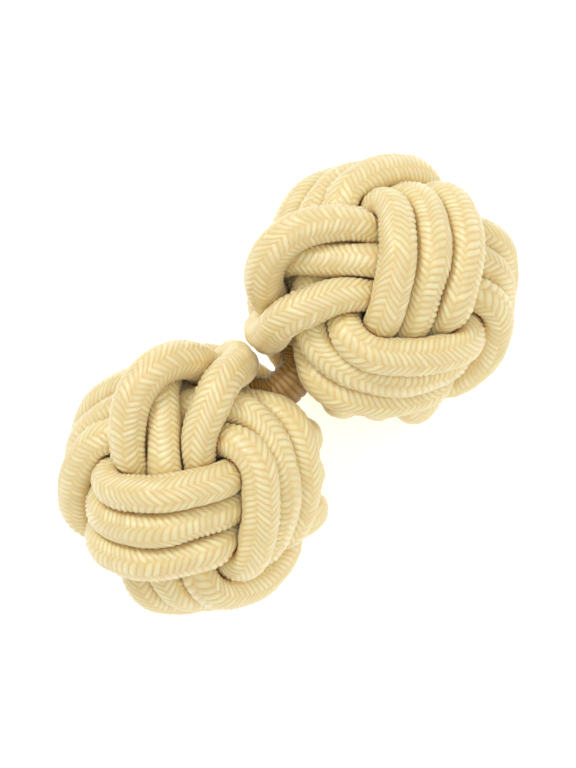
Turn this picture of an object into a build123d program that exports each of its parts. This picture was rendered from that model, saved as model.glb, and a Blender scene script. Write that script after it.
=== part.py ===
from build123d import *
import os
import numpy as np

os.makedirs("parts", exist_ok=True)

# A silk knot cuff button: two balls knotted of round braided cord, joined by two short cords.
# Each ball is a Turk's head of three leads and four bights, followed three times by one cord.
# Lengths of the route are in cord widths and become millimetres at the end.
# The shank's line is the part's X; the part lies on the floor, Z = 0, as it rests by itself.

CORD = 1.70            # width of the free cord
TUBE = 1.32            # width of the solid cord, pressed as it is in the knot
BUTT_GAP = 0.10        # between the ends of two cords that follow each other
REST_ROLL = -15.0      # turn about the shank's line into the resting pose, degrees

# The loose knot, laid out on a sphere
BALL = 6.1             # radius of the loose knot
BALL_UP = 0.95         # its centre's height over the mid plane, in radii
LATITUDE = 46.0        # how far the bights reach to either pole
FIRST_LONGITUDE = -77.0
LEADS = 3
BIGHTS = 4
PASSES = 3
LANE = 1.25            # between two passes that run side by side
LIFT = 0.75            # over and under at a crossing
CROSSING = 60.0        # degrees of phase from a bight to the crossings at either side
SHIFT_HALF = 35.0      # half the stretch over which a pass moves to the next lane, degrees of phase
BODY_START = 8.0       # degrees of phase past the first bight
BODY_STOP = -30.0      # degrees of phase past the last bight
LOOP = 3.0             # how far the first end's curl stands off the loose knot
PHASE_STEP = 2.0       # degrees, while the route is laid out
NODE_STEP = 0.7        # between two nodes of the loose cord

# Tightening
PITCH = 0.31           # between two nodes of the tight cord
EASE = 0.998           # shortening per step
BESIDE = 0.95          # distance of parallel cords
ACROSS = 0.86          # distance of crossing cords, which press each other flat
HOLLOW = 2.20          # radius of the empty middle of the knot while it is free
HOLLOW_WIDE = 2.0      # the same across the shank, once it is drawn down on its mate
HOLLOW_LONG = 2.6      # and along it
FREE_STEPS = 1050
PRESS_STEPS = 300
PRESS = 0.0022         # per step, of a ball against its mate
SQUEEZE = 0.0004       # per step, across the shank, at the middle of the ball
SQUEEZE_AT = 3.3       # height of that middle over the mid plane
CALM_STEPS = 120       # last steps, gentler, that even out the contacts
CALM_PITCH = 1.004     # of the pitch
CALM_ACROSS = 1.01     # of the distance of crossing cords
CALM_PRESS = 1 / 3     # of the press and squeeze
CALM_STIFFNESS = 0.1   # share of a node's way to a fair curve, per step
CALM_ROUNDS = 8        # of the contacts, per step
STIFFNESS = 0.2        # as above, while the knot is drawn tight
ROUNDS = 3
REFRESH = 12           # steps between two searches for contacts
SHARED_PUSH = 1.5      # on a node that touches more than one other
FAIRING = 0.2          # weight of each neighbour when the tight cord is smoothed
SHANK_ROOM = 1.1       # from the shank's line, within which only the shank cords run
PINNED = 3             # nodes of each end that are held in the shank's hole
SLACK = 4              # nodes left over for the first end's curl
FLOOR = 0.5            # lowest centreline of a ball over the mid plane
HOLE = 0.5             # from the shank's line to the centre of each shank cord
REACH = 1.6            # within which two nodes are watched for contact
OWN = 1.3              # nodes nearer than this along the cord are left out of it
ARC_NODES = 4          # a bend is held open over so many nodes
ARC_CHORD = 1.08       # to this distance

# Cutting into pieces
SHANK_NODES = 4        # from the mid plane to the end of a shank cord
WINDOW = 6             # nodes searched for the deepest place
STRIDE = 3             # nodes per span of two arcs


def on_ball(phase, lane, out=0.0):
    """Point of the loose knot at a phase in degrees, in a lane left (+) or right (-) of the middle one."""
    phi = np.radians(phase)
    lat0 = np.radians(LATITUDE)
    slope = LEADS / BIGHTS
    lon = np.radians(FIRST_LONGITUDE) + slope * phi
    lat = -lat0 * np.cos(phi)
    north = lat0 * np.sin(phi)
    east = slope * np.cos(lat)
    pace = np.hypot(east, north)
    aside = lane * LANE / BALL
    lon = lon - aside * north / pace / np.cos(lat)
    lat = lat + aside * east / pace
    r = BALL + LIFT * np.sin(2 * phi) / np.sin(2 * np.radians(CROSSING)) + out
    flat = r * np.cos(lat)
    return np.stack([flat * np.cos(lon), flat * np.sin(lon), r * np.sin(lat) + BALL_UP * BALL], -1)


def lane_at(phase):
    """+1, 0 and -1 for the three passes, with a smooth step round each join."""
    lane = np.ones_like(phase)
    for join in range(1, PASSES):
        t = (phase - 360 * BIGHTS * join + SHIFT_HALF) / (2 * SHIFT_HALF)
        t = np.clip(t, 0, 1)
        lane -= t * t * (3 - 2 * t)
    return lane


def resample(points, step):
    """The same polyline with nodes at an even step."""
    run = np.linalg.norm(np.diff(points, axis=0), axis=1)
    at = np.concatenate([[0], np.cumsum(run)])
    even = np.linspace(0, at[-1], int(round(at[-1] / step)) + 1)
    return np.stack([np.interp(even, at, points[:, i]) for i in range(3)], -1)


def loose_knot():
    """The whole cord of one ball: from the mid plane through the hole, three times round, and back."""
    last = 360 * BIGHTS * PASSES + BODY_STOP
    phase = np.arange(0.0, last, PHASE_STEP)
    phase = phase[phase > BODY_START]
    body = on_ball(phase, lane_at(phase))
    # The first end comes up through the hole, passes under the third pass and curls over the second.
    # Columns: phase, lane, out
    curl = [
        (-37, -1.1, -1.6),
        (-41, -0.5, -1.2),
        (-45, 0.0, -0.4),
        (-47, 0.4, 0.7 * LOOP),
        (-42, 0.8, LOOP),
        (-30, 1.05, 0.9 * LOOP),
        (-15, 1.0, 0.5 * LOOP),
    ]
    # The last end dives under the second and first pass to the hole.
    dive = [
        (last + 10, -1.2, -0.2),
        (last + 20, -1.5, -0.6),
    ]
    start = [(HOLE, 0, 0), (0.9, 0, 1.2)] + [on_ball(*row) for row in curl]
    end = [on_ball(*row) for row in dive] + [(-1.0, 0, 1.2), (-HOLE, 0, 0)]
    return resample(np.concatenate([start, body, end]), NODE_STEP)


def tighten(x, steps, pitch, ease=1.0, press=0.0, squeeze=0.0, wall=False, hollow=(HOLLOW, HOLLOW, HOLLOW),
            across=ACROSS, stiffness=STIFFNESS, rounds=ROUNDS):
    """Shorten the cord while it stays stiff, keeps off itself, off the hollow and over the wall."""
    n = len(x)
    x = x.copy()
    now = np.linalg.norm(np.diff(x, axis=0), axis=1).mean() if ease < 1 else pitch
    for step in range(steps):
        now = max(pitch, now * ease)
        if step % REFRESH == 0:
            apart = ((x[:, None] - x[None]) ** 2).sum(-1)
            i, j = np.nonzero(np.triu(apart < REACH ** 2, int(np.ceil(OWN / now))))
            met = len(i)
            i = np.concatenate([i, np.arange(n - ARC_NODES)])
            j = np.concatenate([j, np.arange(ARC_NODES, n)])
            body = np.hypot(x[:, 0], x[:, 1]) > SHANK_ROOM
        turn = np.zeros_like(x)
        turn[1:-1] = 0.5 * (x[:-2] + x[2:]) - x[1:-1]
        turn[1:-1] -= 0.5 * (turn[:-2] + turn[2:])
        x = x + stiffness * turn
        x[:, :2] *= 1 - squeeze * x[:, 2:] / SQUEEZE_AT
        x[:, 2] += squeeze * (x[:, 2] - FLOOR) - press
        t = np.gradient(x, axis=0)
        t /= np.linalg.norm(t, axis=1)[:, None]
        gap = across + (BESIDE - across) * (t[i] * t[j]).sum(1) ** 2
        gap[met:] = ARC_CHORD * now / PITCH
        middle = x[body].mean(0) * (0, 0, 1)
        for _ in range(rounds):
            for k in (np.arange(0, n - 1, 2), np.arange(1, n - 1, 2)):
                d = x[k + 1] - x[k]
                run = np.linalg.norm(d, axis=1)[:, None]
                x[k] += 0.5 * (run - now) / run * d
                x[k + 1] -= 0.5 * (run - now) / run * d
            d = x[j] - x[i]
            run = np.linalg.norm(d, axis=1)
            hit = run < gap
            push = (0.5 * (gap[hit] - run[hit]) / run[hit])[:, None] * d[hit]
            move = np.zeros_like(x)
            count = np.zeros(n)
            np.add.at(move, i[hit], -push)
            np.add.at(move, j[hit], push)
            np.add.at(count, i[hit], 1)
            np.add.at(count, j[hit], 1)
            x += move / np.maximum(count, 1)[:, None] * np.where(count > 1, SHARED_PUSH, 1.0)[:, None]
            r = np.linalg.norm((x - middle) / hollow, axis=1)[:, None]
            x = middle + (x - middle) * np.maximum(1 / r, 1)
            if wall:
                x[2:-2, 2] = np.maximum(x[2:-2, 2], FLOOR)
            for k in range(PINNED):
                x[k] = (HOLE, 0, k * now)
                x[-1 - k] = (-HOLE, 0, k * now)
    return x


def tight_knot():
    """Centreline of one ball over the mid plane, z the shank's line."""
    x = tighten(loose_knot(), FREE_STEPS, PITCH, ease=EASE)
    body = np.hypot(x[:, 0], x[:, 1]) > SHANK_ROOM
    x[:, 2] -= x[body, 2].min() - FLOOR
    over = np.nonzero(x[:, 2] > 0)[0]
    x = x[over[0] - SLACK:over[-1] + 1]
    oval = (HOLLOW_WIDE, HOLLOW_WIDE, HOLLOW_LONG)
    x = tighten(x, PRESS_STEPS, PITCH, press=PRESS, squeeze=SQUEEZE, wall=True, hollow=oval)
    x = tighten(x, CALM_STEPS, CALM_PITCH * PITCH, press=CALM_PRESS * PRESS, squeeze=CALM_PRESS * SQUEEZE,
                wall=True, hollow=oval, across=CALM_ACROSS * ACROSS, stiffness=CALM_STIFFNESS,
                rounds=CALM_ROUNDS)
    x[1:-1] = FAIRING * (x[:-2] + x[2:]) + (1 - 2 * FAIRING) * x[1:-1]
    return x


def cuts(x):
    """Node numbers at which the cord of one ball is divided: shank, three passes, shank.

    A pass ends at the deepest node near the last crossing before a bight, where it runs under.
    """
    middle = x.mean(0) * (0, 0, 1)
    depth = np.linalg.norm(x - middle, axis=1)
    turns = 360 * BIGHTS
    whole = turns * PASSES + BODY_STOP - BODY_START
    marks = [SHANK_NODES]
    for join in range(1, PASSES):
        guess = int(len(x) * (turns * join - CROSSING - BODY_START) / whole)
        near = np.arange(guess - WINDOW, guess + WINDOW + 1)
        marks.append(near[np.argmin(depth[near])])
    return marks + [len(x) - 1 - SHANK_NODES]


def directions(x):
    """Unit tangent at each node."""
    t = np.gradient(x, axis=0)
    return t / np.linalg.norm(t, axis=1)[:, None]


def tube(x, t):
    """Round cord along nodes x with tangents t, as exact torus stretches: two arcs per span."""
    keep = list(range(0, len(x) - STRIDE // 2, STRIDE))
    keep[-1] = len(x) - 1
    arcs = []
    for a, b in zip(keep[:-1], keep[1:]):
        chord = x[b] - x[a]
        both = t[a] + t[b]
        bend = 2 * (1 - t[a] @ t[b])
        along = chord @ both
        if bend < 1e-9:
            arm = chord @ chord / (2 * along)
        else:
            arm = (np.sqrt(along ** 2 + bend * (chord @ chord)) - along) / bend
        knee_a = x[a] + arm * t[a]
        knee_b = x[b] - arm * t[b]
        joint = 0.5 * (knee_a + knee_b)
        arcs.append(Edge.make_tangent_arc(Vector(*x[a]), Vector(*t[a]), Vector(*joint)))
        arcs.append(Edge.make_tangent_arc(Vector(*joint), Vector(*(knee_b - knee_a)), Vector(*x[b])))
    path = Wire(arcs)
    start = Plane(origin=Vector(*x[0]), z_dir=Vector(*t[0]))
    return Solid.sweep(Wire(Edge.make_circle(TUBE / 2, start)), path)


def placed(x):
    """From cord widths, z the shank's line, to millimetres, X the shank's line, in the resting pose."""
    roll = np.radians(REST_ROLL)
    y = x[:, 0] * np.sin(roll) - x[:, 1] * np.cos(roll)
    z = x[:, 1] * np.sin(roll) + x[:, 0] * np.cos(roll)
    return CORD * np.stack([x[:, 2], y, z], -1)


knot = tight_knot()
lean = directions(knot)
marks = cuts(knot)
pieces = {}
for side, name in ((1, "upper"), (-1, "lower")):
    x = placed(knot * (1, 1, side))
    t = placed(lean * (1, 1, side)) / CORD
    for number, (a, b) in enumerate(zip(marks[:-1], marks[1:]), 1):
        run = x[a:b + 1].copy()
        run[0] += 0.5 * BUTT_GAP * t[a]
        run[-1] -= 0.5 * BUTT_GAP * t[b]
        pieces[f"{name}_knot_pass_{number}"] = tube(run, t[a:b + 1])

# Each shank cord runs from inside one ball through the mid plane into the other.
first = knot[:marks[0] + 1]
last = knot[marks[-1]:][::-1]
for number, half in enumerate((first, last), 1):
    line = placed(np.concatenate([half[:0:-1] * (1, 1, -1), half]))
    line_t = directions(line)
    line[0] += 0.5 * BUTT_GAP * line_t[0]
    line[-1] -= 0.5 * BUTT_GAP * line_t[-1]
    pieces[f"shank_cord_{number}"] = tube(line, line_t)

# The origin is the middle of the whole part's foot.
boxes = [piece.bounding_box() for piece in pieces.values()]
side = 0.5 * (min(box.min.Y for box in boxes) + max(box.max.Y for box in boxes))
floor = min(box.min.Z for box in boxes)
for name, piece in pieces.items():
    export_step(piece.moved(Location((0, -side, -floor))), f"parts/{name}.step")
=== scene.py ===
import bmesh
import bpy
import numpy as np
from mathutils import Matrix, Vector


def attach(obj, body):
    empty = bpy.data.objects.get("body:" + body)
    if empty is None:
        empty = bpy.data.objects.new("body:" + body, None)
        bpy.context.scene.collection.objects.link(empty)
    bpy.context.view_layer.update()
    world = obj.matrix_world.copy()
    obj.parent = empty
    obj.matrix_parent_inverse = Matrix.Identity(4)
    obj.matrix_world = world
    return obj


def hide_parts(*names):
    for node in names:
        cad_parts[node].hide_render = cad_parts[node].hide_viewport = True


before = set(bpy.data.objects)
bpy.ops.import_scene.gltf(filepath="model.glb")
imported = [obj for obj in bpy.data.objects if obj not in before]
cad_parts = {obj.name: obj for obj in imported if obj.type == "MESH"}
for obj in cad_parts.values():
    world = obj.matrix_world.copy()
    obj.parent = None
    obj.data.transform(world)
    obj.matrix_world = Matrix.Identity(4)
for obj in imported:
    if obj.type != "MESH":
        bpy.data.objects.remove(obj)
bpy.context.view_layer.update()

# The cord of one ball: soft round silk braid on an elastic core, about 320 mm long, tied by hand as a
# Turk's head of three leads and four bights that is followed three times and then worked tight.
# Its route is found as it is tied: laid out loose on a sphere, then shortened until it packs.

CORD = 0.00170           # width of the free cord
LEADS = 3
BIGHTS = 4
PASSES = 3
# Lengths of the route are in cord widths; its z is the shank's line, from the mid plane.
BALL = 6.1               # radius of the loose knot
BALL_UP = 0.95           # its centre's height over the mid plane, in radii
LATITUDE = 46.0          # how far the bights reach to either pole
FIRST_LONGITUDE = -77.0
LANE = 1.25              # between two passes that run side by side
LIFT = 0.75              # over and under at a crossing
CROSSING = 60.0          # degrees of phase from a bight to the crossings at either side
SHIFT_HALF = 35.0        # half the stretch over which a pass moves to the next lane
BODY_START = 8.0         # degrees of phase past the first bight
BODY_STOP = -30.0        # degrees of phase past the last bight
LOOP = 3.0               # how far the first end's curl stands off the loose knot
PHASE_STEP = 2.0         # degrees, while the route is laid out
NODE_STEP = 0.7          # between two nodes of the loose cord
PITCH = 0.31             # between two nodes of the tight cord
EASE = 0.998             # shortening per step
BESIDE = 0.95            # distance of parallel cords
ACROSS = 0.86            # distance of crossing cords, which press each other flat
HOLLOW = 2.20            # radius of the empty middle of the knot while it is free
HOLLOW_WIDE = 2.0        # the same across the shank, once it is drawn down on its mate
HOLLOW_LONG = 2.6        # and along it
FREE_STEPS = 1050
PRESS_STEPS = 300
PRESS = 0.0022           # per step, of a ball against its mate
SQUEEZE = 0.0004         # per step, across the shank, at the middle of the ball
SQUEEZE_AT = 3.3         # height of that middle over the mid plane
CALM_STEPS = 120         # last steps, gentler, that even out the contacts
CALM_PITCH = 1.004       # of the pitch
CALM_ACROSS = 1.01       # of the distance of crossing cords
CALM_PRESS = 1 / 3       # of the press and squeeze
CALM_STIFFNESS = 0.1     # share of a node's way to a fair curve, per step
CALM_ROUNDS = 8          # of the contacts, per step
STIFFNESS = 0.2          # as above, while the knot is drawn tight
ROUNDS = 3
REFRESH = 12             # steps between two searches for contacts
SHARED_PUSH = 1.5        # on a node that touches more than one other
FAIRING = 0.2            # weight of each neighbour when the tight cord is smoothed
SHANK_ROOM = 1.1         # from the shank's line, within which only the shank cords run
PINNED = 3               # nodes of each end that are held in the shank's hole
SLACK = 4                # nodes left over for the first end's curl
FLOOR = 0.5              # lowest centreline of a ball over the mid plane
HOLE = 0.5               # from the shank's line to the centre of each shank cord
REACH = 1.6              # within which two nodes are watched for contact
OWN = 1.3                # nodes nearer than this along the cord are left out of it
ARC_NODES = 4            # a bend is held open over so many nodes
ARC_CHORD = 1.08         # to this distance
SHANK_NODES = 4          # from the mid plane to the end of a shank cord
WINDOW = 6               # nodes searched for the deepest place


def on_ball(phase, lane, out=0.0):
    """Point of the loose knot at a phase in degrees, in a lane left (+) or right (-) of the middle one."""
    phi = np.radians(phase)
    lat0 = np.radians(LATITUDE)
    slope = LEADS / BIGHTS
    lon = np.radians(FIRST_LONGITUDE) + slope * phi
    lat = -lat0 * np.cos(phi)
    north = lat0 * np.sin(phi)
    east = slope * np.cos(lat)
    pace = np.hypot(east, north)
    aside = lane * LANE / BALL
    lon = lon - aside * north / pace / np.cos(lat)
    lat = lat + aside * east / pace
    r = BALL + LIFT * np.sin(2 * phi) / np.sin(2 * np.radians(CROSSING)) + out
    flat = r * np.cos(lat)
    return np.stack([flat * np.cos(lon), flat * np.sin(lon), r * np.sin(lat) + BALL_UP * BALL], -1)


def lane_at(phase):
    """+1, 0 and -1 for the three passes, with a smooth step round each join."""
    lane = np.ones_like(phase)
    for join in range(1, PASSES):
        t = (phase - 360 * BIGHTS * join + SHIFT_HALF) / (2 * SHIFT_HALF)
        t = np.clip(t, 0, 1)
        lane -= t * t * (3 - 2 * t)
    return lane


def resample(points, step):
    """The same polyline with nodes at an even step."""
    run = np.linalg.norm(np.diff(points, axis=0), axis=1)
    at = np.concatenate([[0], np.cumsum(run)])
    even = np.linspace(0, at[-1], int(round(at[-1] / step)) + 1)
    return np.stack([np.interp(even, at, points[:, i]) for i in range(3)], -1)


def loose_knot():
    """The whole cord of one ball: from the mid plane through the hole, three times round, and back."""
    last = 360 * BIGHTS * PASSES + BODY_STOP
    phase = np.arange(0.0, last, PHASE_STEP)
    phase = phase[phase > BODY_START]
    body = on_ball(phase, lane_at(phase))
    # The first end comes up through the hole, passes under the third pass and curls over the second.
    # Columns: phase, lane, out
    curl = [
        (-37, -1.1, -1.6),
        (-41, -0.5, -1.2),
        (-45, 0.0, -0.4),
        (-47, 0.4, 0.7 * LOOP),
        (-42, 0.8, LOOP),
        (-30, 1.05, 0.9 * LOOP),
        (-15, 1.0, 0.5 * LOOP),
    ]
    # The last end dives under the second and first pass to the hole.
    dive = [
        (last + 10, -1.2, -0.2),
        (last + 20, -1.5, -0.6),
    ]
    start = [(HOLE, 0, 0), (0.9, 0, 1.2)] + [on_ball(*row) for row in curl]
    end = [on_ball(*row) for row in dive] + [(-1.0, 0, 1.2), (-HOLE, 0, 0)]
    return resample(np.concatenate([start, body, end]), NODE_STEP)


def tighten(x, steps, pitch, ease=1.0, press=0.0, squeeze=0.0, wall=False, hollow=(HOLLOW, HOLLOW, HOLLOW),
            across=ACROSS, stiffness=STIFFNESS, rounds=ROUNDS):
    """Shorten the cord while it stays stiff, keeps off itself, off the hollow and over the wall."""
    n = len(x)
    x = x.copy()
    now = np.linalg.norm(np.diff(x, axis=0), axis=1).mean() if ease < 1 else pitch
    for step in range(steps):
        now = max(pitch, now * ease)
        if step % REFRESH == 0:
            apart = ((x[:, None] - x[None]) ** 2).sum(-1)
            i, j = np.nonzero(np.triu(apart < REACH ** 2, int(np.ceil(OWN / now))))
            met = len(i)
            i = np.concatenate([i, np.arange(n - ARC_NODES)])
            j = np.concatenate([j, np.arange(ARC_NODES, n)])
            body = np.hypot(x[:, 0], x[:, 1]) > SHANK_ROOM
        turn = np.zeros_like(x)
        turn[1:-1] = 0.5 * (x[:-2] + x[2:]) - x[1:-1]
        turn[1:-1] -= 0.5 * (turn[:-2] + turn[2:])
        x = x + stiffness * turn
        x[:, :2] *= 1 - squeeze * x[:, 2:] / SQUEEZE_AT
        x[:, 2] += squeeze * (x[:, 2] - FLOOR) - press
        t = np.gradient(x, axis=0)
        t /= np.linalg.norm(t, axis=1)[:, None]
        gap = across + (BESIDE - across) * (t[i] * t[j]).sum(1) ** 2
        gap[met:] = ARC_CHORD * now / PITCH
        middle = x[body].mean(0) * (0, 0, 1)
        for _ in range(rounds):
            for k in (np.arange(0, n - 1, 2), np.arange(1, n - 1, 2)):
                d = x[k + 1] - x[k]
                run = np.linalg.norm(d, axis=1)[:, None]
                x[k] += 0.5 * (run - now) / run * d
                x[k + 1] -= 0.5 * (run - now) / run * d
            d = x[j] - x[i]
            run = np.linalg.norm(d, axis=1)
            hit = run < gap
            push = (0.5 * (gap[hit] - run[hit]) / run[hit])[:, None] * d[hit]
            move = np.zeros_like(x)
            count = np.zeros(n)
            np.add.at(move, i[hit], -push)
            np.add.at(move, j[hit], push)
            np.add.at(count, i[hit], 1)
            np.add.at(count, j[hit], 1)
            x += move / np.maximum(count, 1)[:, None] * np.where(count > 1, SHARED_PUSH, 1.0)[:, None]
            r = np.linalg.norm((x - middle) / hollow, axis=1)[:, None]
            x = middle + (x - middle) * np.maximum(1 / r, 1)
            if wall:
                x[2:-2, 2] = np.maximum(x[2:-2, 2], FLOOR)
            for k in range(PINNED):
                x[k] = (HOLE, 0, k * now)
                x[-1 - k] = (-HOLE, 0, k * now)
    return x


def tight_knot():
    """Centreline of one ball over the mid plane, z the shank's line."""
    x = tighten(loose_knot(), FREE_STEPS, PITCH, ease=EASE)
    body = np.hypot(x[:, 0], x[:, 1]) > SHANK_ROOM
    x[:, 2] -= x[body, 2].min() - FLOOR
    over = np.nonzero(x[:, 2] > 0)[0]
    x = x[over[0] - SLACK:over[-1] + 1]
    oval = (HOLLOW_WIDE, HOLLOW_WIDE, HOLLOW_LONG)
    x = tighten(x, PRESS_STEPS, PITCH, press=PRESS, squeeze=SQUEEZE, wall=True, hollow=oval)
    x = tighten(x, CALM_STEPS, CALM_PITCH * PITCH, press=CALM_PRESS * PRESS, squeeze=CALM_PRESS * SQUEEZE,
                wall=True, hollow=oval, across=CALM_ACROSS * ACROSS, stiffness=CALM_STIFFNESS,
                rounds=CALM_ROUNDS)
    x[1:-1] = FAIRING * (x[:-2] + x[2:]) + (1 - 2 * FAIRING) * x[1:-1]
    return x


def cuts(x):
    """Node numbers at which the cord of one ball is divided: shank, three passes, shank."""
    middle = x.mean(0) * (0, 0, 1)
    depth = np.linalg.norm(x - middle, axis=1)
    turns = 360 * BIGHTS
    whole = turns * PASSES + BODY_STOP - BODY_START
    marks = [SHANK_NODES]
    for join in range(1, PASSES):
        guess = int(len(x) * (turns * join - CROSSING - BODY_START) / whole)
        near = np.arange(guess - WINDOW, guess + WINDOW + 1)
        marks.append(near[np.argmin(depth[near])])
    return marks + [len(x) - 1 - SHANK_NODES]


knot = tight_knot()
marks = cuts(knot)

# The braid's skin. Where cords meet they press each other flat, and elsewhere they stay round. Sixteen
# carriers plait it, so plump slanted ribs stand in columns round the cord, and each rib's ends tuck in
# between two ribs of the next column. The rings of the skin follow the ribs.

FREE = 0.545             # half width of the cord where nothing presses it
SEAM = 0.008             # half the gap where two cords press
NEARBY = 2.6 * FREE      # as far as a stretch looks for others that press it
OPEN = 9.0               # reach where nothing is near
LEAST_TOWARD = 0.02      # smallest cosine towards another stretch
LEAST_BEND = 0.1         # bends gentler than this count as this
LEAST_DOWN = 0.05        # smallest cosine towards the floor
EVENING_TURNS = 2        # the skin is evened out so often
EVEN_ALONG = 0.25        # weight of each neighbour along the cord
EVEN_ROUND = 0.15        # and round it
MATE_DEPTH = 1.3         # past the mid plane, as far as the mate's cords are watched
FULL_CREASE = 0.2 * FREE # pressed in by this, a place is a full crease
SKIP = 1.25              # along the cord, within which it does not press itself
HARDNESS = 12.0          # how sharply the skin turns from round to flat
BEND_LIMIT = 0.93        # of the bend's radius, as far as the skin goes inwards
RIB = 0.00027 / CORD     # length of cord per rib
RINGS_PER_RIB = 4
COLUMNS = 8              # round the cord
ACROSS_COLUMN = [0.0, 0.2, 0.5, 0.8, 1.0]   # points of a ring across a column, in shares of its width
SIDES = len(ACROSS_COLUMN) * COLUMNS
COLUMN_SEAM = 0.14       # width of the seam between two columns, in columns
SLANT = 1.1              # ribs by which a rib climbs across its column
WANDER = 0.4             # ribs by which the climb comes and goes along the cord
RIB_DEPTH = 0.046
RIB_END = 0.55           # height of a rib's ends, as a share of its middle's
LEAST_PLUMP = 0.6        # the flattest rib's height as a share of the fullest one's
RIDGE_FULLNESS = 0.8     # power of the sine along the cord; lower is fuller
ARCH_FULLNESS = 0.5      # the same across a column
WANDER_LENGTH = 7        # ribs per radian of wander
WANDER_ROUND = 3         # how far the wander differs round the cord
STRAIGHT_END = 4 * SLANT # ribs over which the zigzag dies out to an end
PLUMP_SEED = 4           # of the draw of plumpness, one per rib and column
# The part lies as it rests by itself, rolled about the shank's line, which stands over the floor.
REST_ROLL = -15.0
SHANK_LINE = Vector((0, 0.0000063, 0.0058064))


def spline(points, count):
    """Uniform cubic B-spline with the points as controls, through both ends, at an even step of control."""
    p = np.concatenate([2 * points[:1] - points[1:2], points, 2 * points[-1:] - points[-2:-1]])
    u = np.linspace(0, len(points) - 1, count)
    k = np.minimum(u.astype(int), len(points) - 2)
    f = (u - k)[:, None]
    weights = [(1 - f) ** 3, 3 * f ** 3 - 6 * f ** 2 + 4, -3 * f ** 3 + 3 * f ** 2 + 3 * f + 1, f ** 3]
    return sum(w * p[k + n] for n, w in enumerate(weights)) / 6


def carried_frames(x):
    """Tangent, side and third direction at each ring, carried along without twist."""
    t = np.gradient(x, axis=0)
    t /= np.linalg.norm(t, axis=1)[:, None]
    side = np.zeros_like(t)
    first = np.cross(t[0], (0.3, 0.5, 0.81))
    side[0] = first / np.linalg.norm(first)
    for k in range(1, len(t)):
        s = side[k - 1] - t[k] * (side[k - 1] @ t[k])
        side[k] = s / np.linalg.norm(s)
    return t, side, np.cross(t, side)


def pressed_radius(x, t, side, third, others, floor):
    """Radius of the soft cord at each ring and side: half way to whatever it meets, or to the floor."""
    down = -np.array([np.cos(np.radians(REST_ROLL)), np.sin(np.radians(REST_ROLL)), 0])
    radius = np.empty((len(x), SIDES))
    step = np.linalg.norm(np.diff(x, axis=0), axis=1).mean()
    bend = np.gradient(t, axis=0) / step
    own = np.arange(len(x))
    for k in range(len(x)):
        e = np.outer(np.cos(angle), side[k]) + np.outer(np.sin(angle), third[k])
        d = np.concatenate([x[np.abs(own - k) * step > SKIP], others]) - x[k]
        square = (d ** 2).sum(1)
        near = square < NEARBY ** 2
        reach = np.full(SIDES, OPEN)
        if near.any():
            toward = e @ d[near].T
            half_way = square[near] / (2 * np.maximum(toward, LEAST_TOWARD))
            reach = half_way.min(1) - SEAM
        inward = np.maximum(e @ bend[k], LEAST_BEND)
        reach = np.minimum(reach, BEND_LIMIT / inward)
        reach = np.minimum(reach, (floor - x[k] @ down) / np.maximum(e @ down, LEAST_DOWN))
        radius[k] = (reach ** -HARDNESS + FREE ** -HARDNESS) ** (-1 / HARDNESS)
    for _ in range(EVENING_TURNS):
        radius[1:-1] = EVEN_ALONG * (radius[:-2] + radius[2:]) + (1 - 2 * EVEN_ALONG) * radius[1:-1]
        beside = np.roll(radius, 1, 1) + np.roll(radius, -1, 1)
        radius = EVEN_ROUND * beside + (1 - 2 * EVEN_ROUND) * radius
    return radius


length = np.linalg.norm(np.diff(knot, axis=0), axis=1).sum()
rings = int(length / RIB) * RINGS_PER_RIB + 1
line = spline(knot, rings)
t, side, third = carried_frames(line)
column_of = np.repeat(np.arange(COLUMNS), len(ACROSS_COLUMN))
across = np.tile(ACROSS_COLUMN, COLUMNS)
angle = 2 * np.pi / COLUMNS * (column_of + COLUMN_SEAM / 2 + (1 - COLUMN_SEAM) * across)
coarse = slice(0, None, RINGS_PER_RIB)
mate = line[coarse] * (1, 1, -1)
mate = mate[(mate[:, 2] > -MATE_DEPTH) & (np.hypot(mate[:, 0], mate[:, 1]) > SHANK_ROOM)]
soft = pressed_radius(line[coarse], t[coarse], side[coarse], third[coarse], mate, SHANK_LINE.z / CORD)
at = np.arange(rings) / RINGS_PER_RIB
soft = np.stack([np.interp(at, np.arange(len(soft)), soft[:, a]) for a in range(SIDES)], 1)

# Each ring zigzags with the columns, half a rib on in every other one, but lies straight at both ends.
odd = column_of % 2
climb = SLANT * np.where(odd, 1 - across, across) + 0.5 * odd
climb = climb + WANDER * np.sin(at[:, None] / WANDER_LENGTH + WANDER_ROUND * np.cos(angle))
from_end = np.minimum(at, at[::-1])[:, None]
place = (at[:, None] + climb * np.clip(from_end / STRAIGHT_END, 0, 1)) * RINGS_PER_RIB
place = np.clip(place, 0, rings - 1)
low = np.minimum(place.astype(int), rings - 2)
part = place - low
each_side = np.arange(SIDES)


def along(values):
    """Rings of a field, read at the place of each point of the zigzag."""
    share = part[..., None] if values.ndim == 3 else part
    return (1 - share) * values[low, each_side] + share * values[low + 1, each_side]


out = side[:, None] * np.cos(angle)[:, None] + third[:, None] * np.sin(angle)[:, None]
soft = along(soft)
ridge = np.abs(np.sin(np.pi * at))[:, None] ** RIDGE_FULLNESS
arch = RIB_END + (1 - RIB_END) * np.sin(np.pi * across) ** ARCH_FULLNESS
ribs = int(at[-1]) + 1
plump = np.random.default_rng(PLUMP_SEED).uniform(LEAST_PLUMP, 1, (ribs, COLUMNS))
plump = plump[at.astype(int)][:, column_of]
# How far each point lies down between ribs: the skin sinks by it, and the silk is painted darker by it as
# painted shade in the grooves.
groove = 1 - plump * ridge * arch
skin = along(np.repeat(line[:, None], SIDES, 1)) + (soft - RIB_DEPTH * groove)[..., None] * along(out)
# How far each place is pressed in by its neighbours; the silk is painted darker by it, as painted shade
# down in the creases.
crease = np.clip((FREE - soft) / FULL_CREASE, 0, 1)


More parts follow.
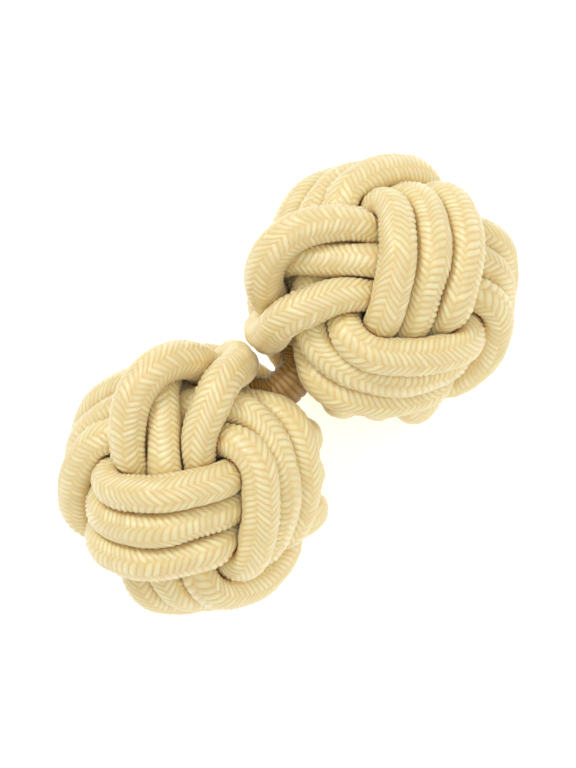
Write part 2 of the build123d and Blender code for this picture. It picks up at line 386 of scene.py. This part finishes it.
def placed(x):
    """From cord widths, z the shank's line, to metres in the frame."""
    roll = np.radians(REST_ROLL)
    y = x[..., 0] * np.sin(roll) - x[..., 1] * np.cos(roll)
    z = x[..., 1] * np.sin(roll) + x[..., 0] * np.cos(roll)
    return CORD * np.stack([x[..., 2], y, z], -1) + np.array(SHANK_LINE)


def cord_piece(name, points, fields, count):
    """A closed tube: a grid is rolled up over the points, its seam welded and its ends filled."""
    bm = bmesh.new()
    bm.loops.layers.uv.new("cord")
    layers = {label: bm.verts.layers.float.new(label) for label in fields}
    bmesh.ops.create_grid(bm, x_segments=count - 1, y_segments=SIDES, size=0.5, calc_uvs=True)
    for vert in bm.verts:
        ring = round((vert.co.x + 0.5) * (count - 1))
        a = round((vert.co.y + 0.5) * SIDES) % SIDES
        vert.co = points[ring, a]
        for label, values in fields.items():
            vert[layers[label]] = values[ring, a]
    bmesh.ops.remove_doubles(bm, verts=bm.verts, dist=1e-7)
    ends = bmesh.ops.holes_fill(bm, edges=[edge for edge in bm.edges if edge.is_boundary], sides=0)
    bmesh.ops.poke(bm, faces=ends["faces"])
    bmesh.ops.recalc_face_normals(bm, faces=bm.faces)
    for face in bm.faces:
        face.smooth = True
    mesh = bpy.data.meshes.new(name)
    bm.to_mesh(mesh)
    bm.free()
    piece = bpy.data.objects.new(name, mesh)
    bpy.context.collection.objects.link(piece)
    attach(piece, "root")
    return piece


ring_at = [round(mark * (rings - 1) / (len(knot) - 1)) for mark in marks]
knot_pieces = []
for side_name, mirror in (("upper", 1), ("lower", -1)):
    for number, (a, b) in enumerate(zip(ring_at[:-1], ring_at[1:]), 1):
        stretch = slice(a, b)
        node = f"{side_name}_knot_pass_{number}"
        piece = cord_piece(
            f"{side_name}_braid_pass_{number}",
            placed(skin[stretch] * (1, 1, mirror)),
            # crease and groove carry the masks of painted shade, plump that of the painted glints.
            {"crease": crease[stretch], "groove": groove[stretch], "plump": plump[stretch]},
            b - a,
        )
        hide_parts(node)
        knot_pieces.append(piece)

# The two short cords of the shank, which hold the balls together and go through the cuff's buttonholes.
# They are the ends of the knotted cord, drawn down hard, so they lie smoother; their silk is painted
# darker, golden brown, as painted shade for the shade between the balls.

shank_pieces = []
for number, half in enumerate((slice(0, ring_at[0]), slice(rings - 1, ring_at[-1], -1)), 1):
    there = skin[half]
    both = np.concatenate([there[:0:-1] * (1, 1, -1), there])
    fields = {}
    for label, values in (("crease", crease), ("groove", groove), ("plump", plump)):
        fields[label] = np.concatenate([values[half][:0:-1], values[half]])
    piece = cord_piece(f"shank_braid_{number}", placed(both), fields, len(both))
    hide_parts(f"shank_cord_{number}")
    shank_pieces.append(piece)


# Silk: pale butter yellow, glossy on each rib's back, with plump ribs painted paler as painted glints, and
# painted shade: a deeper yellow in the grooves between ribs and golden brown down in the creases where
# cords press.


def linear(red, green, blue):
    """Colour from 0 to 255 per channel, as a screen shows it, to scene light."""
    parts = [((value / 255 + 0.055) / 1.055) ** 2.4 for value in (red, green, blue)]
    return (*parts, 1.0)


def silk(name, back, groove_shade, crease_shade, roughness):
    """Braided silk: colour by a slow drift, painted glints on plump ribs and painted shade in rib grooves
    and creases; its fine fibres as bump.
    """
    material = bpy.data.materials.new(name)
    material.use_nodes = True
    nodes = material.node_tree.nodes
    links = material.node_tree.links
    shader = nodes["Principled BSDF"]

    def attribute(label):
        node = nodes.new("ShaderNodeAttribute")
        node.attribute_name = label
        return node.outputs["Fac"]

    def mix(factor, first, second):
        node = nodes.new("ShaderNodeMix")
        node.data_type = "RGBA"
        links.new(factor, node.inputs["Factor"])
        for socket, colour in ((node.inputs[6], first), (node.inputs[7], second)):
            if isinstance(colour, tuple):
                socket.default_value = colour
            else:
                links.new(colour, socket)
        return node.outputs[2]

    def ramp(source, low, high):
        node = nodes.new("ShaderNodeMapRange")
        links.new(source, node.inputs["Value"])
        node.inputs["From Min"].default_value = low
        node.inputs["From Max"].default_value = high
        return node.outputs["Result"]

    drift = nodes.new("ShaderNodeTexNoise")
    drift.inputs["Scale"].default_value = 450.0
    drift.inputs["Detail"].default_value = 3.0
    links.new(nodes.new("ShaderNodeTexCoord").outputs["Object"], drift.inputs["Vector"])
    glint_pale = tuple(1.05 * c for c in back[:3]) + (1.0,)
    dull = tuple(0.88 * c for c in back[:3]) + (1.0,)
    drifted = mix(ramp(drift.outputs["Fac"], 0.35, 0.65), back, dull)
    # Plump ribs, which stand higher, are painted paler: painted glints, which also vary the tone at random
    # from rib to rib.
    lit = mix(ramp(attribute("plump"), LEAST_PLUMP, 1.0), drifted, glint_pale)
    # Painted shade: a deeper yellow down in the grooves between ribs.
    groove_shaded = mix(ramp(attribute("groove"), 0.3, 1.0), lit, groove_shade)
    # Painted shade: golden brown down in the creases where cords press.
    crease_shaded = mix(ramp(attribute("crease"), 0.55, 1.0), groove_shaded, crease_shade)
    links.new(crease_shaded, shader.inputs["Base Color"])

    fibre = nodes.new("ShaderNodeTexNoise")
    fibre.inputs["Scale"].default_value = 9000.0
    fibre.inputs["Detail"].default_value = 2.0
    links.new(nodes.new("ShaderNodeTexCoord").outputs["Object"], fibre.inputs["Vector"])
    bump = nodes.new("ShaderNodeBump")
    bump.inputs["Strength"].default_value = 0.4
    bump.inputs["Distance"].default_value = 0.00002
    links.new(fibre.outputs["Fac"], bump.inputs["Height"])
    links.new(bump.outputs["Normal"], shader.inputs["Normal"])

    shader.inputs["Roughness"].default_value = roughness
    shader.inputs["Sheen Weight"].default_value = 0.25
    shader.inputs["Sheen Roughness"].default_value = 0.4
    shader.inputs["Specular IOR Level"].default_value = 0.6
    shader.inputs["Subsurface Weight"].default_value = 0.6
    shader.inputs["Subsurface Radius"].default_value = (1.0, 0.7, 0.3)
    shader.inputs["Subsurface Scale"].default_value = 0.0008
    return material


# Its two darker colours are painted shade, in the rib grooves and down in the creases.
braid_silk = silk(
    "butter_yellow_silk",
    back=linear(246, 231, 184),
    groove_shade=linear(238, 211, 142),
    crease_shade=linear(226, 180, 86),
    roughness=0.30,
)
# The same yellow cord, painted darker all over as painted shade, since the shank lies in shade between the
# balls.
shank_shaded_silk = silk(
    "shank_painted_shade_silk",
    back=linear(178, 142, 76),
    groove_shade=linear(134, 98, 42),
    crease_shade=linear(92, 62, 22),
    roughness=0.5,
)
for piece in knot_pieces:
    piece.data.materials.append(braid_silk)
for piece in shank_pieces:
    piece.data.materials.append(shank_shaded_silk)

# The plain white table that the part lies on, lit from below so that the shadow stays faint.

floor_mesh = bpy.data.meshes.new("table")
bm = bmesh.new()
bmesh.ops.create_grid(bm, x_segments=1, y_segments=1, size=0.6)
bm.to_mesh(floor_mesh)
bm.free()
table = bpy.data.objects.new("table", floor_mesh)
bpy.context.collection.objects.link(table)
white = bpy.data.materials.new("white_table")
white.use_nodes = True
white_shader = white.node_tree.nodes["Principled BSDF"]
white_shader.inputs["Base Color"].default_value = linear(250, 250, 250)
white_shader.inputs["Roughness"].default_value = 0.8
white_shader.inputs["Emission Color"].default_value = (1.0, 1.0, 1.0, 1.0)
white_shader.inputs["Emission Strength"].default_value = 0.46
table.data.materials.append(white)

# Camera: it looks down the photograph's line, with the shank rising to the right.

to_viewer = Vector((0.0, np.sin(np.radians(REST_ROLL)), np.cos(np.radians(REST_ROLL))))
right = Vector((1.0, -to_viewer.z, to_viewer.y)).normalized()
up = to_viewer.cross(right)
VIEW_HEIGHT = 0.0345      # of the plane through the part's middle
DISTANCE = 0.30
SENSOR = 36.0
aim = SHANK_LINE
camera_data = bpy.data.cameras.new("camera")
camera_data.lens = SENSOR * DISTANCE / VIEW_HEIGHT
camera = bpy.data.objects.new("camera", camera_data)
turn = Matrix((right, up, to_viewer)).transposed().to_4x4()
camera.matrix_world = Matrix.Translation(aim + DISTANCE * to_viewer) @ turn
bpy.context.collection.objects.link(camera)
bpy.context.scene.camera = camera

# Light: a white room and two soft boxes, the stronger one from the upper left of the view, the other
# from close beside the camera.

world = bpy.data.worlds.new("white_room")
world.use_nodes = True
world.node_tree.nodes["Background"].inputs["Color"].default_value = (1.0, 1.0, 1.0, 1.0)
world.node_tree.nodes["Background"].inputs["Strength"].default_value = 0.50
bpy.context.scene.world = world
bpy.context.scene.view_settings.view_transform = "Standard"


def soft_box(name, direction, distance, size, power):
    """A square area light that faces the part."""
    data = bpy.data.lights.new(name, "AREA")
    data.size = size
    data.energy = power
    box = bpy.data.objects.new(name, data)
    away = direction.normalized()
    facing = away.to_track_quat("Z", "Y").to_matrix().to_4x4()
    box.matrix_world = Matrix.Translation(aim + distance * away) @ facing
    bpy.context.collection.objects.link(box)


soft_box("key", to_viewer + 0.8 * up - 0.6 * right, distance=0.5, size=0.14, power=0.88)
soft_box("fill", to_viewer + 0.15 * right, distance=0.5, size=0.25, power=0.62)
